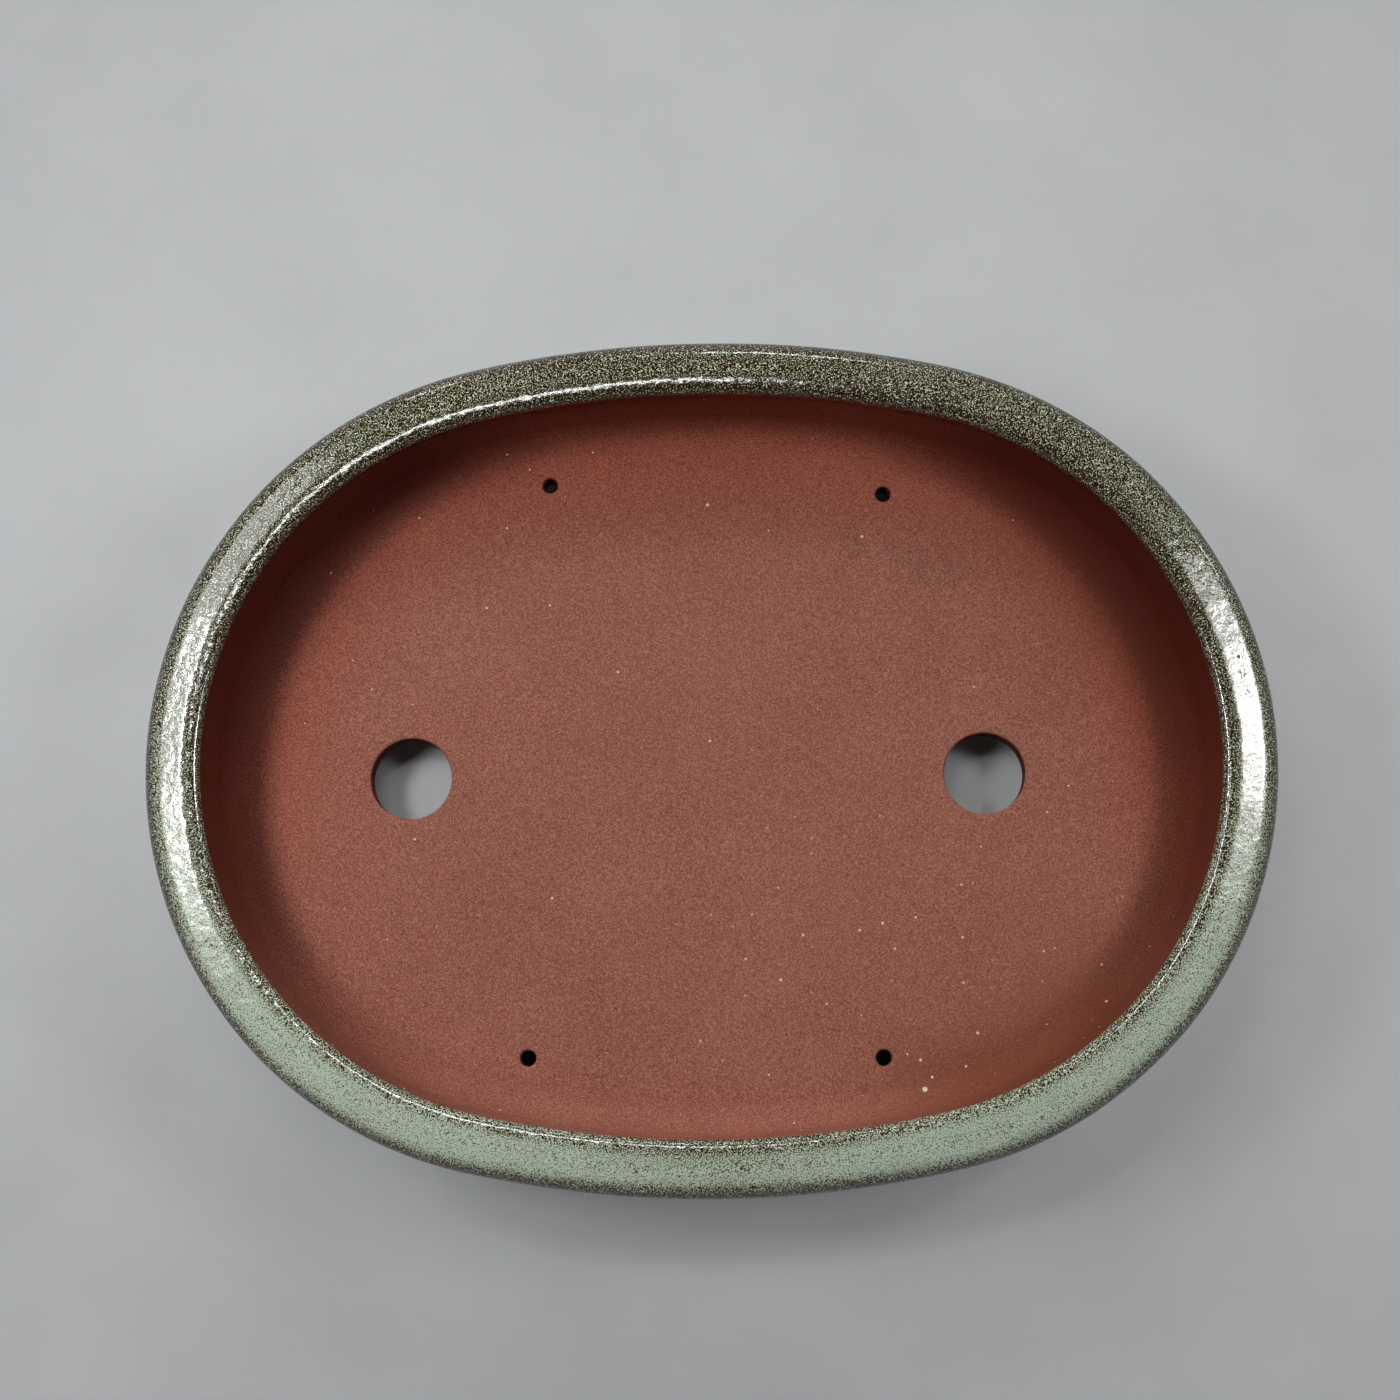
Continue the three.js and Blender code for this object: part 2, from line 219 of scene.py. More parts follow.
# Soft patches: the middle, the distance inside which they are full and the one where they end
RUST_LOWER = ((0.150, -0.135, 0.040), 0.03, 0.11)
RUST_UPPER = ((0.195, 0.085, 0.055), 0.04, 0.12)
SPECKLED_CORNER = ((0.090, -0.130, 0.03), 0.05, 0.16)
LARGE_SPECK = ((0.0962, -0.1478, FLOOR_TOP + 0.5 * MM), 1.0 * MM, 1.6 * MM)
POOLED_LEFT = ((-0.17, -0.14, 0.075), 0.05, 0.17)
POOLED_RIGHT = ((0.16, -0.12, 0.075), 0.06, 0.18)
PIT = ((0.2352, 0.0410, 0.0796), 0.5 * MM, 1.2 * MM)
UPPER_SCUFF = ((0.2364, 0.0336, 0.0796), 1.0 * MM, 3.5 * MM)
LOWER_SCUFF = ((0.2387, 0.0247, 0.0796), 1.0 * MM, 3.5 * MM)

# The pale floor and the room
FLOOR_SIZE = 6
FLOOR_TONES = [(0.3, (186, 188, 190)), (0.7, (194, 196, 198))]
# The tone of the shadow painted on the floor under the pot
POT_SHADOW_TONE = (52, 52, 53)
PAINT_ROUGHNESS = 0.8
BACKDROP_STRENGTH = 0.8
ROOM_STRENGTH = 0.02
ROOM_LOW = (171, 173, 175)
ROOM_HIGH = (40, 41, 42)
ROOM_RISE = (0.25, 0.6, 0.0, 1.0)
# Fades outwards over the floor, where 1 is the pot's outline
PAST_DRAINS = (0.60, 0.74, 0.0, 1.0)
PAST_FEET = (0.86, 0.99, 0.0, 1.0)
BACKDROP_BESIDE = (0.85, 1.1, 0.0, 0.4)
BACKDROP_AWAY = (1.4, 4.5, 0.0, 0.6)

# Lamps: "lights" ones aren't mirrored in the glaze, "shines" ones only show in it
POT_MIDDLE = (0, 0, 0.05)
ALONG_X = (1, 0, 0)
ALONG_Y = (0, 1, 0)
ALONG_RIGHT_END = (-0.055, 0.207, 0)
ALONG_TOP_STRIP = (0.909, 0.417, 0)
ALONG_RIGHT_GLINT = (-0.54, 0.84, 0)
# name, kind, middle, direction of the long side, width and length, radiance
LAMPS = [
    ("left_box", "lights", (-0.505, 0.100, 0.740), ALONG_Y, (0.18, 0.29), 15),
    ("left_glow", "both", (-0.515, 0.190, 0.765), ALONG_Y, (0.20, 0.60), 3.4),
    ("right_box", "lights", (0.530, 0.150, 0.715), ALONG_RIGHT_END, (0.20, 0.11), 15),
    ("right_glow", "both", (0.535, 0.150, 0.735), ALONG_RIGHT_END, (0.23, 0.30), 2.8),
    ("top_strip", "both", (-0.145, 0.285, 1.100), ALONG_TOP_STRIP, (0.08, 0.36), 15),
    ("back_strip", "both", (0.130, 1.300, 1.050), ALONG_X, (0.10, 0.32), 15),
    ("left_glint", "both", (-0.560, 1.300, 0.785), ALONG_X, (0.10, 0.14), 15),
    ("right_glint", "both", (1.200, 0.770, 0.810), ALONG_RIGHT_GLINT, (0.10, 0.12), 15),
    ("back_fill", "lights", (0, 1.3, 0.75), ALONG_X, (0.8, 1.6), 2.4),
    ("left_shine", "shines", (-0.505, 0.100, 0.740), ALONG_Y, (0.18, 0.19), 13),
    ("right_shine", "shines", (0.535, 0.135, 0.715), ALONG_RIGHT_END, (0.20, 0.14), 9.5),
    ("left_bar", "shines", (-0.475, 0.105, 0.745), ALONG_Y, (0.006, 0.22), 560),
    ("right_bar", "shines", (0.560, 0.130, 0.715), ALONG_RIGHT_END, (0.006, 0.20), 560),
    ("top_bar", "shines", (-0.145, 0.285, 1.100), ALONG_TOP_STRIP, (0.015, 0.36), 230),
    ("right_haze", "shines", (0.560, 0.140, 0.735), ALONG_RIGHT_END, (0.42, 0.36), 2.0),
]
# Low strips light the outside from below the rim
LOW_STRIPS = {"front": (0, -1.2), "back": (0, 1.2), "left": (-1.3, 0), "right": (1.3, 0)}
LOW_STRIP_HEIGHT = 0.035
LOW_STRIP_SIZE = (0.06, 1.2)
LOW_STRIP_RADIANCE = 9

# The camera looks down into the pot, a little from its near side
LENS = 51.57
SENSOR = 36
CAMERA_OVER_FLANK = Vector((10 * MM, -124.3 * MM, 887.46 * MM))
CAMERA_FORWARD = Vector((-0.01555, 0.16667, -0.98589))
CAMERA_UP = Vector((0.01046, 0.98598, 0.16652))


def round_beside(other, angle, x, radius):
    """A round of the section at inset x that shares a straight line with another round."""
    reach = other[0] * math.cos(angle) + other[1] * math.sin(angle) + other[2]
    return x, (reach - radius - x * math.cos(angle)) / math.sin(angle), radius


# The rounds of the section, each as (inset, height, radius)
LIP_INSET = RIM_OVERHANG + WALL_THICKNESS + LIP_UNDERCUT
CREST = (CREST_INSET, RIM_TOP - SKIN - CREST_ROUND, CREST_ROUND)
LIP = round_beside(CREST, LAND_ANGLE, LIP_INSET - LIP_ROUND, LIP_ROUND)
FLANK = round_beside(CREST, BEVEL_ANGLE, SKIN + FLANK_ROUND, FLANK_ROUND)
UNDER = (SKIN + UNDER_ROUND, FLANK[1], UNDER_ROUND)
NECK = (
    RIM_OVERHANG - NECK_FILLET * math.cos(LEAN),
    FLANK[1] - UNDER_ROUND - NECK_FILLET,
    NECK_FILLET,
)
NECK_Z = NECK[1] + NECK_FILLET * math.sin(LEAN)
UNDERCUT = math.atan2(LIP_UNDERCUT, LIP[1] - NECK_Z)


def outer_inset(z):
    """How far inside the rim's outline the wall's outer face lies at a height."""
    return RIM_OVERHANG + (NECK_Z - z) * math.tan(LEAN)


def inner_inset(z):
    """How far inside the rim's outline the wall's inner face lies at a height."""
    return outer_inset(z) + WALL_THICKNESS


BASE_START_Z = FOOT_HEIGHT + BASE_ROUND * (1 - math.sin(LEAN))
BASE = (
    outer_inset(BASE_START_Z) + BASE_ROUND * math.cos(LEAN),
    FOOT_HEIGHT + BASE_ROUND,
    BASE_ROUND,
)

# The outline, an oval of two end arcs and two flatter side arcs
END_RADIUS = HALF_WIDTH - SIDE_BOW
END_CENTRE = HALF_LENGTH - END_RADIUS
SIDE_RADIUS = END_CENTRE ** 2 / (2 * SIDE_BOW) + HALF_WIDTH - SIDE_BOW / 2
SIDE_CENTRE = SIDE_RADIUS - HALF_WIDTH
ARC_JOINT = math.atan2(SIDE_CENTRE, END_CENTRE)


def oval_place(turn):
    """The outline's point that faces a share of a full turn, with its outward direction."""
    angle = 2 * math.pi * turn
    out = Vector((math.cos(angle), math.sin(angle), 0))
    if math.atan2(abs(out.y), abs(out.x)) < ARC_JOINT:
        return Vector((math.copysign(END_CENTRE, out.x), 0, 0)) + out * END_RADIUS, out
    return Vector((0, -math.copysign(SIDE_CENTRE, out.y), 0)) + out * SIDE_RADIUS, out


class OvalLine:
    """A line round the pot at an even inset, walked by its own length."""

    TURNS = 5760

    def __init__(self, inset):
        self.places = [oval_place(k / self.TURNS) for k in range(self.TURNS + 1)]
        self.lengths = [0.0]
        points = [point - out * inset for point, out in self.places]
        for here, after in zip(points, points[1:]):
            self.lengths.append(self.lengths[-1] + (after - here).length)

    def walk(self, share):
        """The outline's point and outward direction at a share of the line's length."""
        goal = (share % 1) * self.lengths[-1]
        k = min(bisect.bisect_right(self.lengths, goal), self.TURNS)
        part = (goal - self.lengths[k - 1]) / (self.lengths[k] - self.lengths[k - 1])
        (a, out_a), (b, out_b) = self.places[k - 1], self.places[k]
        return a.lerp(b, part), out_a.lerp(out_b, part).normalized()


RIM_LINE = OvalLine(0)
RIM_STATIONS = [RIM_LINE.walk(k / STATIONS) for k in range(STATIONS)]


# A point of a section is (inset, height, place), where the place counts the rounds and
# straights that the glaze runs over
def arc(centre, start, end, places=(0, 0)):
    """Points of one round of a section."""
    x, z, radius = centre
    steps = max(2, math.ceil(abs(end - start) * radius / RIM_STEP))
    run = []
    for k in range(steps + 1):
        a = start + (end - start) * k / steps
        place = places[0] + (places[1] - places[0]) * k / steps
        run.append(Vector((x + radius * math.cos(a), z + radius * math.sin(a), place)))
    return run


def filled(points, step):
    """The same run of points with the long stretches divided."""
    run = [points[0]]
    for after in points[1:]:
        here = run[-1]
        gap = (after.xy - here.xy).length
        parts = math.ceil(gap / step)
        if gap > SAME_POINT:
            run += [here.lerp(after, k / parts) for k in range(1, parts + 1)]
    return run


def roll_run(start_z):
    """The surface of the roll from inside the lip over the crest and back under to the neck."""
    lip = arc(LIP, -UNDERCUT, LAND_ANGLE, (1, 2))
    start = Vector((lip[0].x - (lip[0].y - start_z) * math.tan(UNDERCUT), start_z, 0))
    return filled(
        [start]
        + lip
        + arc(CREST, LAND_ANGLE, BEVEL_ANGLE, (3, 4))
        + arc(FLANK, BEVEL_ANGLE, math.pi, (5, 6))
        + arc(UNDER, math.pi, 1.5 * math.pi, (6, 7))
        + arc(NECK, 0.5 * math.pi, LEAN, (8, 9)),
        RIM_STEP,
    )


def wall_run(base_turn):
    """The outer surface of the wall from the neck down and part of the way round its base."""
    lower = arc(BASE, math.pi + LEAN, math.pi + LEAN + base_turn, (10, 11))
    return filled([Vector((RIM_OVERHANG, NECK_Z, 9))] + lower, WALL_STEP)


def hand_wave(point):
    """The hand's unevenness at a point, as a shift along each axis."""
    start = point / WAVE_LENGTH
    shift = [noise.noise(start + Vector((0, 0, WAVE_APART * axis))) for axis in range(3)]
    return Vector(shift) * WAVE_DEPTH


def verts_in(geom):
    """The vertices among what a step made."""
    return [g for g in geom if isinstance(g, bmesh.types.BMVert)]


def edges_in(geom):
    """The edges among what a step made."""
    return [g for g in geom if isinstance(g, bmesh.types.BMEdge)]


def cut(bm, place, way):
    """Divides every face that a plane crosses."""
    geom = bm.verts[:] + bm.edges[:] + bm.faces[:]
    bmesh.ops.bisect_plane(bm, geom=geom, plane_co=place, plane_no=way, dist=TOUCH)


def sweep(section, thin=None, stray=0.0):
    """A closed section carried round the oval by extruding a ring of edges from point to point.
    A thinness for each point may be kept on the vertices, and the end inside the lip strays."""
    bm = bmesh.new()
    station = bm.verts.layers.int.new("station")
    kept = bm.verts.layers.float.new("thin") if thin else None
    ring = bmesh.ops.create_circle(bm, segments=STATIONS, radius=HALF_WIDTH)["verts"]
    for k, vert in enumerate(ring):
        vert[station] = k
    first = edges = bm.edges[:]
    for k, point in enumerate(section):
        if k:
            grown = bmesh.ops.extrude_edge_only(bm, edges=edges)["geom"]
            ring, edges = verts_in(grown), edges_in(grown)
        for vert in ring:
            foot, out = RIM_STATIONS[vert[station]]
            inset, z = point.x, point.y
            if stray and point.z < 1:
                drop = stray * (1 - point.z) * noise.fractal(foot / STRAY_LENGTH, *STRAY_FRACTAL)
                inset, z = inset + drop * math.tan(UNDERCUT), z + drop
            vert.co = foot - out * inset + Vector((0, 0, z))
            vert.co += hand_wave(vert.co)
            if kept:
                vert[kept] = thin[k]
    bmesh.ops.bridge_loops(bm, edges=first + edges)
    bm.verts.layers.int.remove(bm.verts.layers.int["station"])
    bmesh.ops.recalc_face_normals(bm, faces=bm.faces[:])
    return bm


def add_piece(bm, name, slot, nodes, *finishes):
    """Makes a modelled mesh a piece of the pot, in place of the part's own solid."""
    mesh = bpy.data.meshes.new(name)
    bm.to_mesh(mesh)
    bm.free()
    mesh.shade_smooth()
    mesh.set_sharp_from_angle(angle=SHARP_ANGLE)
    for finish in finishes:
        mesh.materials.append(finish)
    piece = bpy.data.objects.new(name, mesh)
    bpy.context.scene.collection.objects.link(piece)
    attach(piece, "root")
    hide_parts(*nodes)


def feed(tree, socket, value):
    """Gives an input a link from another node or a plain value."""
    if isinstance(value, bpy.types.NodeSocket):
        tree.links.new(value, socket)
    else:
        socket.default_value = value


def add_node(tree, kind, settings=None, **inputs):
    """A shader node with its own settings and its inputs, linked or plain."""
    node = tree.nodes.new(kind)
    for key, value in (settings or {}).items():
        setattr(node, key, value)
    for key, value in inputs.items():
        feed(tree, node.inputs[key.replace("_", " ")], value)
    return node


def new_finish(name):
    """A new node material, its tree, its shader and the place on the piece."""
    finish = bpy.data.materials.new(name)
    finish.use_nodes = True
    tree = finish.node_tree
    place = add_node(tree, "ShaderNodeTexCoord").outputs["Object"]
    return finish, tree, tree.nodes["Principled BSDF"], place


def shade(red, green, blue):
    """A colour as read off a screen, made linear."""
    def line(v):
        v /= 255
        return v / 12.92 if v <= 0.04045 else ((v + 0.055) / 1.055) ** 2.4
    return line(red), line(green), line(blue), 1.0


def grain(tree, place, scale, detail, roughness):
    """Soft noise about 0.5, with a number of grains to the metre."""
    settings = {"Scale": scale, "Detail": detail, "Roughness": roughness}
    return add_node(tree, "ShaderNodeTexNoise", Vector=place, **settings).outputs["Fac"]


def reckon(tree, operation, *values):
    """A sum on numbers or sockets."""
    node = add_node(tree, "ShaderNodeMath", {"operation": operation})
    for socket, value in zip(node.inputs, values):
        feed(tree, socket, value)
    return node.outputs["Value"]


def product(tree, first, *others):
    """Several values multiplied."""
    for other in others:
        first = reckon(tree, "MULTIPLY", first, other)
    return first


def largest(tree, first, *others):
    """The largest of several values."""
    for other in others:
        first = reckon(tree, "MAXIMUM", first, other)
    return first


def weighted(tree, *parts, start=0.0):
    """The sum of (value, weight) pairs on top of a start."""
    total = start
    for value, weight in parts:
        total = reckon(tree, "MULTIPLY_ADD", value, weight, total)
    return total


def ranged(tree, value, fade):
    """A value carried smoothly through a fade and held past both of its ends."""
    bounds = dict(zip(("From_Min", "From_Max", "To_Min", "To_Max"), fade))
    smooth = {"interpolation_type": "SMOOTHSTEP"}
    return add_node(tree, "ShaderNodeMapRange", smooth, Value=value, **bounds).outputs["Result"]


def tones(tree, value, stops):
    """A run of colours along a value."""
    node = add_node(tree, "ShaderNodeValToRGB", Fac=value)
    band = node.color_ramp.elements
    while len(band) < len(stops):
        band.new(0.5)
    for element, (position, colour) in zip(band, stops):
        element.position = position
        element.color = shade(*colour)
    return node.outputs["Color"]


def blended(tree, share, first, second, way="MIX"):
    """One colour laid over another by a share."""
    node = add_node(tree, "ShaderNodeMix", {"data_type": "RGBA", "blend_type": way})
    for key, value in ((0, share), (6, first), (7, second)):
        feed(tree, node.inputs[key], value)
    return node.outputs[2]


def raised(tree, height, depth, under=None):
    """A surface raised by a height of so many metres, on top of another raised one."""
    node = add_node(tree, "ShaderNodeBump", Height=height, Distance=depth, Strength=1.0)
    if under:
        tree.links.new(under, node.inputs["Normal"])
    return node.outputs["Normal"]


def moved(tree, operation, first, second=(0, 0, 0)):
    """The outputs of a sum on places."""
    node = add_node(tree, "ShaderNodeVectorMath", {"operation": operation})
    tree.links.new(first, node.inputs[0])
    node.inputs[1].default_value = second
    return node.outputs


def spot(tree, place, patch):
    """A soft patch, 1 inside and 0 outside."""
    middle, near, far = patch
    away = moved(tree, "DISTANCE", place, middle)["Value"]
    return ranged(tree, away, (near, far, 1.0, 0.0))


def inside_outline(tree, place):
    """How far a place lies inside the rim's outline, in plan."""
    flat = moved(tree, "MULTIPLY", place, (1, 1, 0))["Vector"]
    quarter = moved(tree, "ABSOLUTE", flat)["Vector"]
    from_end = moved(tree, "SUBTRACT", quarter, (END_CENTRE, 0, 0))["Vector"]
    from_side = moved(tree, "SUBTRACT", quarter, (0, -SIDE_CENTRE, 0))["Vector"]
    end = reckon(tree, "SUBTRACT", END_RADIUS, moved(tree, "LENGTH", from_end)["Value"])
    side = reckon(tree, "SUBTRACT", SIDE_RADIUS, moved(tree, "LENGTH", from_side)["Value"])
    joint = (math.sin(ARC_JOINT), -math.cos(ARC_JOINT), 0)
    past_joint = moved(tree, "DOT_PRODUCT", from_end, joint)["Value"]
    at_end = reckon(tree, "GREATER_THAN", past_joint, 0.0)
    return reckon(tree, "MULTIPLY_ADD", at_end, reckon(tree, "SUBTRACT", end, side), side)


def pale_specks(tree, place, scale, smallest, spread):
    """Scattered grains, each 1 inside and 0 outside, most of them of the smallest size."""
    cells = add_node(tree, "ShaderNodeTexVoronoi", {"feature": "F1"}, Vector=place, Scale=scale)
    chance = add_node(tree, "ShaderNodeSeparateColor", Color=cells.outputs["Color"]).outputs["Red"]
    size = weighted(tree, (reckon(tree, "POWER", chance, GROG_RARITY), spread), start=smallest)
    return reckon(tree, "LESS_THAN", cells.outputs["Distance"], size)


def bare_clay():
    """Matt red clay: fine grain, soft mottling, pale grog specks, rusty flashing, painted shade.
    """
    finish, tree, shader, place = new_finish("bare_red_clay")
    sides = add_node(tree, "ShaderNodeSeparateXYZ", Vector=place).outputs
    inset = inside_outline(tree, place)
    fine = grain(tree, place, scale=1500, detail=2, roughness=0.6)
    coarse = grain(tree, place, scale=420, detail=3, roughness=0.55)
    mottle = grain(tree, place, scale=28, detail=3, roughness=0.55)
    cloud = grain(tree, place, scale=7, detail=2, roughness=0.5)
    mixed = weighted(tree, (cloud, 0.06), (mottle, 0.06), (coarse, 0.08), (fine, 0.80))
    colour = tones(tree, mixed, CLAY_TONES)

    # Rust in two places near the wall
    rusty = largest(tree, spot(tree, place, RUST_LOWER), spot(tree, place, RUST_UPPER))
    near_wall = ranged(tree, inset, RUST_INWARDS)
    colour = blended(tree, product(tree, rusty, near_wall), colour, shade(*RUST))

    # Painted shade in the corner between wall and floor, most of it at the ends and the back
    upper = ranged(tree, sides["Z"], OVER_FLOOR)
    shade_inwards = ranged(tree, inset, CORNER_SHADE_INWARDS)
    ends = ranged(tree, reckon(tree, "ABSOLUTE", sides["X"]), CORNER_SHADE_TO_ENDS)
    back = ranged(tree, sides["Y"], CORNER_SHADE_TO_BACK)
    painted_corner_shade = product(tree, shade_inwards, upper, ends, back)
    colour = blended(tree, painted_corner_shade, colour, shade(*CORNER_SHADE_TONE), "MULTIPLY")

    # A redder painted shade that reaches further in, behind and at the sides
    red_shade_inwards = ranged(tree, inset, REDDENED_SHADE_INWARDS)
    behind = ranged(tree, sides["Y"], REDDENED_SHADE_TO_BACK)
    painted_red_shade = product(tree, red_shade_inwards, behind, upper)
    colour = blended(tree, painted_red_shade, colour, shade(*REDDENED_SHADE_TONE), "MULTIPLY")

    # The bores of the holes are darker: shade painted into them
    below_top = ranged(tree, sides["Z"], UNDER_FLOOR_TOP)
    above_base = ranged(tree, sides["Z"], OVER_BASE)
    off_wall = ranged(tree, inset, BORE_SHADE_INWARDS)
    painted_bore_shade = product(tree, below_top, above_base, off_wall)
    colour = blended(tree, painted_bore_shade, colour, shade(*BORE_SHADE_TONE), "MULTIPLY")

    # Pale grains, many of them in one corner
    many = pale_specks(tree, place, scale=190.0, smallest=0.03, spread=0.12)
    many = product(tree, many, spot(tree, place, SPECKLED_CORNER))
    few = pale_specks(tree, place, scale=95.0, smallest=0.018, spread=0.06)
    speck = largest(tree, many, few, spot(tree, place, LARGE_SPECK))
    colour = blended(tree, product(tree, speck, GROG_SHARE), colour, shade(*GROG))

    feed(tree, shader.inputs["Base Color"], colour)
    feed(tree, shader.inputs["Roughness"], ranged(tree, fine, CLAY_ROUGHNESS))
    shader.inputs["Specular IOR Level"].default_value = CLAY_SHINE
    wiped = raised(tree, mottle, WIPED_DEPTH)
    feed(tree, shader.inputs["Normal"], raised(tree, fine, GRAIN_DEPTH, wiped))
    return finish


def speckled_glaze():
    """Glossy grey-green glaze, finely speckled, that breaks to brown where it lies thin."""
    finish, tree, shader, place = new_finish("speckled_green_glaze")
    edge = add_node(tree, "ShaderNodeAttribute", {"attribute_name": "thin"}).outputs["Fac"]
    across = add_node(tree, "ShaderNodeSeparateXYZ", Vector=place).outputs["Y"]
    fine = grain(tree, place, scale=1750, detail=0, roughness=0.5)
    mid = grain(tree, place, scale=900, detail=1, roughness=0.5)
    fringe = grain(tree, place, scale=330, detail=2, roughness=0.6)
    cloud = grain(tree, place, scale=13, detail=2, roughness=0.5)
    speck = weighted(tree, (mid, 0.15), (fine, 0.85))

    # It lies thicker to the front and in two pools, and the specks are strongest where it is thin
    pooled = largest(tree, spot(tree, place, POOLED_LEFT), spot(tree, place, POOLED_RIGHT))
    drift = weighted(
        tree, (pooled, -0.2), (across, 1.75), (fringe, 0.2), (cloud, 0.3), start=0.05)
    thin = largest(tree, reckon(tree, "ADD", edge, drift), THICKEST)
    strength = weighted(tree, (thin, SPECK_GAIN), start=SPECK_STRENGTH)
    tone = weighted(tree, (thin, TONE_GAIN), start=TONE_START)
    uneven = reckon(tree, "SUBTRACT", speck, SPECK_MIDDLE)
    value = weighted(tree, (uneven, strength), start=tone)
    colour = tones(tree, value, GLAZE_TONES)

    # A pit and two scuffs on the right end of the rim
    scuffs = largest(tree, spot(tree, place, UPPER_SCUFF), spot(tree, place, LOWER_SCUFF))
    scuffed = product(tree, scuffs, ranged(tree, mid, SCUFF_BREAKS))
    dull = largest(tree, spot(tree, place, PIT), scuffed)
    colour = blended(tree, dull, colour, shade(*DULL_GLAZE))

    feed(tree, shader.inputs["Base Color"], colour)
    gloss = ranged(tree, speck, GLAZE_ROUGHNESS)
    feed(tree, shader.inputs["Roughness"], weighted(tree, (dull, DULL_ROUGHNESS), start=gloss))
    shader.inputs["IOR"].default_value = GLAZE_IOR
    swell = grain(tree, place, scale=55, detail=3, roughness=0.6)
    ripple = grain(tree, place, scale=230, detail=3, roughness=0.65)
    surface = raised(tree, ripple, RIPPLE_DEPTH, raised(tree, swell, SWELL_DEPTH))
    feed(tree, shader.inputs["Normal"], raised(tree, speck, SPECK_DEPTH, surface))
    return finish


CLAY = bare_clay()
GLAZE = speckled_glaze()


def thin_at(place):
    """The glaze's thinness at a place of its section."""
    for (low, thin_low), (high, thin_high) in zip(THINNESS, THINNESS[1:]):
        if place <= high:
            return thin_low + (thin_high - thin_low) * (place - low) / (high - low)
    return THINNESS[-1][1]


def feathered(surface, back):
    """The glaze's outer line drawn in to the clay towards both of its ends."""
    lengths = [0.0]
    for here, after in zip(surface, surface[1:]):
        lengths.append(lengths[-1] + (after.xy - here.xy).length)
    run = []
    for point, under, length in zip(surface, back, lengths):
        end = min(length, lengths[-1] - length)
        share = min(1.0, end / GLAZE_FEATHER)
        depth = GLAZE_END / SKIN + (1 - GLAZE_END / SKIN) * math.sin(share * math.pi / 2)
        run.append(under.lerp(point, depth))
    return run


def glaze_section():
    """The glaze's outer line and its back, both laid off from the clay's line point by point."""
    clay_line = roll_run(RIM_TOP - LIP_GLAZE) + wall_run(BASE_GLAZE)[1:]
    normals = []
    for k in range(len(clay_line)):
        before = clay_line[max(0, k - 1)]
        after = clay_line[min(len(clay_line) - 1, k + 1)]
        along = (after.xy - before.xy).normalized()
        normals.append(Vector((along.y, -along.x, 0)))
    surface = [p + n * SKIN for p, n in zip(clay_line, normals)]
    back = [p + n * GLAZE_BACK for p, n in zip(clay_line, normals)]
    return feathered(surface, back) + back[::-1]


# Glaze
section = glaze_section()
glaze_thin = [thin_at(p.z) for p in section]
add_piece(sweep(section, glaze_thin, GLAZE_STRAY), "glaze_skin", "glaze", ["glaze_coat"], GLAZE)

# Rim core
rim_section = roll_run(NECK_Z)
add_piece(sweep(rim_section), "clay_rim", "clay", ["rim_roll"], CLAY)

# Wall
wall_section = wall_run(math.pi / 2 - LEAN) + filled([
    Vector((BASE[0], FOOT_HEIGHT, 0)),
    Vector((inner_inset(FLOOR_TOP), FOOT_HEIGHT, 0)),
    Vector((inner_inset(FLOOR_TOP), FLOOR_TOP, 0)),
    Vector((inner_inset(NECK_Z), NECK_Z, 0)),
], WALL_STEP)[1:]
add_piece(sweep(wall_section), "clay_wall", "clay", ["wall_band"], CLAY)

# Cove
cove_z = FLOOR_TOP + COVE_RADIUS
cove = (inner_inset(cove_z) + COVE_RADIUS / math.cos(LEAN), cove_z, COVE_RADIUS - COVE_PROUD)
cove_section = arc(cove, math.pi + LEAN, 1.5 * math.pi) + [
    Vector((cove[0], FLOOR_TOP - SEAM, 0)),
    Vector((inner_inset(FLOOR_TOP) - SEAM, FLOOR_TOP - SEAM, 0)),
    Vector((inner_inset(cove_z) - SEAM, cove_z - COVE_RADIUS * math.sin(LEAN), 0)),
]
add_piece(sweep(cove_section), "clay_cove", "clay", ["corner_coil"], CLAY)


def hole_side(radius, ease, mouth, mouth_depth):
    """A hole's side as (radius, drop below the floor's top): a rounded mouth, a straight side
    and a rounded lower edge."""
    turns = [0.5 * math.pi * k / HOLE_ROUND_STEPS for k in range(HOLE_ROUND_STEPS + 1)]
    thickness = FLOOR_TOP - FOOT_HEIGHT
    side = []
    for a in turns:
        side.append((radius + mouth * (1 - math.sin(a)), mouth_depth * (1 - math.cos(a))))
    for a in turns:
        side.append((radius + ease * (1 - math.cos(a)), thickness - ease * (1 - math.sin(a))))
    return side


